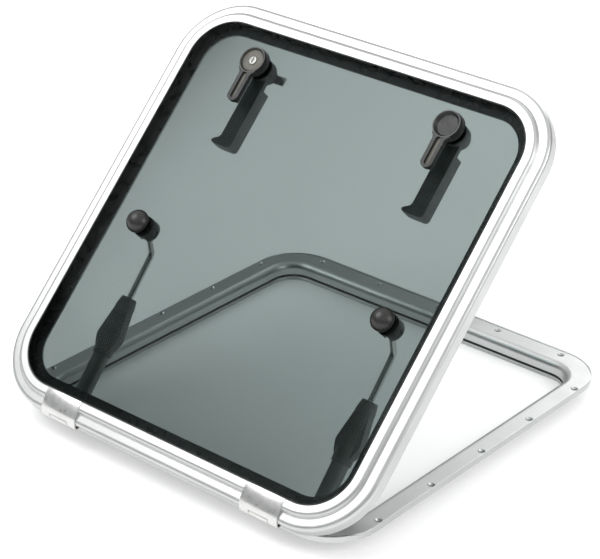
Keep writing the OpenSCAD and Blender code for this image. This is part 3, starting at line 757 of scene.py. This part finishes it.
class HATCH_OT_stage(bpy.types.Operator):
    """Floor, lamps, sky and camera"""

    bl_idname = "hatch.stage"
    bl_label = "Stage"

    def execute(self, context):
        self.floor()
        self.lamps(context.scene.hatch_stage)
        self.sky(context.scene)
        self.camera(context)
        context.scene.view_settings.view_transform = "Standard"
        return {"FINISHED"}

    def floor(self):
        half = 6.0
        mesh = bpy.data.meshes.new("studio_floor")
        z = CAD_BOX[0][2] - 0.0005
        mesh.from_pydata(
            [(-half, -half, z), (half, -half, z), (half, half, z), (-half, half, z)], [], [(0, 1, 2, 3)])
        mesh.materials.append(studio_floor())
        floor = bpy.data.objects.new("studio_floor", mesh)
        bpy.context.scene.collection.objects.link(floor)

    def lamps(self, sizes):
        target = Vector((0, 0, 0.15))
        for name, place, width, power in (
            ("key lamp", (-1.6, -1.4, 3.0), 2.4, sizes.key),
            ("side lamp", (2.6, 0.4, 1.6), 1.6, sizes.key * 0.35),
            ("back lamp", (-0.4, 2.8, 1.7), 1.8, sizes.key * 0.35),
        ):
            data = bpy.data.lights.new(name, "AREA")
            data.energy = power
            data.size = width
            lamp = bpy.data.objects.new(name, data)
            bpy.context.scene.collection.objects.link(lamp)
            lamp.location = place
            lamp.rotation_euler = (target - Vector(place)).to_track_quat("-Z", "Y").to_euler()

    def sky(self, scene):
        world = bpy.data.worlds.new("studio")
        scene.world = world
        world.use_nodes = True
        nodes, links = world.node_tree.nodes, world.node_tree.links
        where = nodes.new("ShaderNodeTexCoord").outputs["Generated"]
        split = nodes.new("ShaderNodeSeparateXYZ")
        links.new(where, split.inputs[0])
        ramp = nodes.new("ShaderNodeValToRGB")
        links.new(split.outputs["Z"], ramp.inputs["Fac"])
        stops = ramp.color_ramp.elements
        stops[0].position, stops[0].color = 0.0, (0.14, 0.145, 0.15, 1)
        stops[1].position, stops[1].color = 0.35, (0.52, 0.53, 0.54, 1)
        top = stops.new(0.75)
        top.color = (0.95, 0.95, 0.95, 1)
        links.new(ramp.outputs["Color"], nodes["Background"].inputs["Color"])
        nodes["Background"].inputs["Strength"].default_value = 1.0

    def camera(self, context):
        sizes = context.scene.hatch_stage
        data = bpy.data.cameras.new("view")
        data.lens = sizes.lens
        data.sensor_width = 36.0
        data.clip_end = 50.0
        camera = bpy.data.objects.new("view", data)
        context.scene.collection.objects.link(camera)
        camera.matrix_world = (
            Matrix.Translation(sizes.place)
            @ Matrix.Rotation(sizes.azimuth, 4, "Z")
            @ Matrix.Rotation(math.pi / 2 - sizes.elevation, 4, "X")
            @ Matrix.Rotation(sizes.roll, 4, "Z"))
        context.scene.camera = camera


class HATCH_PT_panel(bpy.types.Panel):
    """Lists the steps that build the hatch's looks."""

    bl_idname = "HATCH_PT_panel"
    bl_label = "Deck hatch"
    bl_space_type = "VIEW_3D"
    bl_region_type = "UI"
    bl_category = "Deck hatch"

    def draw(self, context):
        for operator in STEPS:
            self.layout.operator(operator.bl_idname)
        for group in GROUPS:
            settings = getattr(context.scene, group)
            for name in settings.__annotations__:
                self.layout.prop(settings, name)


GROUPS = {
    "hatch_metal": HATCH_PG_metal,
    "hatch_pane": HATCH_PG_pane,
    "hatch_plastic": HATCH_PG_plastic,
    "hatch_stage": HATCH_PG_stage,
}
STEPS = (
    HATCH_OT_base, HATCH_OT_lid, HATCH_OT_hinges, HATCH_OT_handles, HATCH_OT_lock,
    HATCH_OT_stays, HATCH_OT_screws, HATCH_OT_stage,
)
CLASSES = (*GROUPS.values(), *STEPS, HATCH_PT_panel)


def register():
    for cls in CLASSES:
        bpy.utils.register_class(cls)
    for name, group in GROUPS.items():
        setattr(bpy.types.Scene, name, PointerProperty(type=group))


def unregister():
    for name in GROUPS:
        delattr(bpy.types.Scene, name)
    for cls in reversed(CLASSES):
        bpy.utils.unregister_class(cls)


def main():
    register()
    bpy.ops.hatch.base()
    bpy.ops.hatch.lid()
    bpy.ops.hatch.hinges()
    bpy.ops.hatch.handles()
    bpy.ops.hatch.lock()
    bpy.ops.hatch.stays()
    bpy.ops.hatch.screws()
    bpy.ops.hatch.stage()


if __name__ == "__main__":
    main()
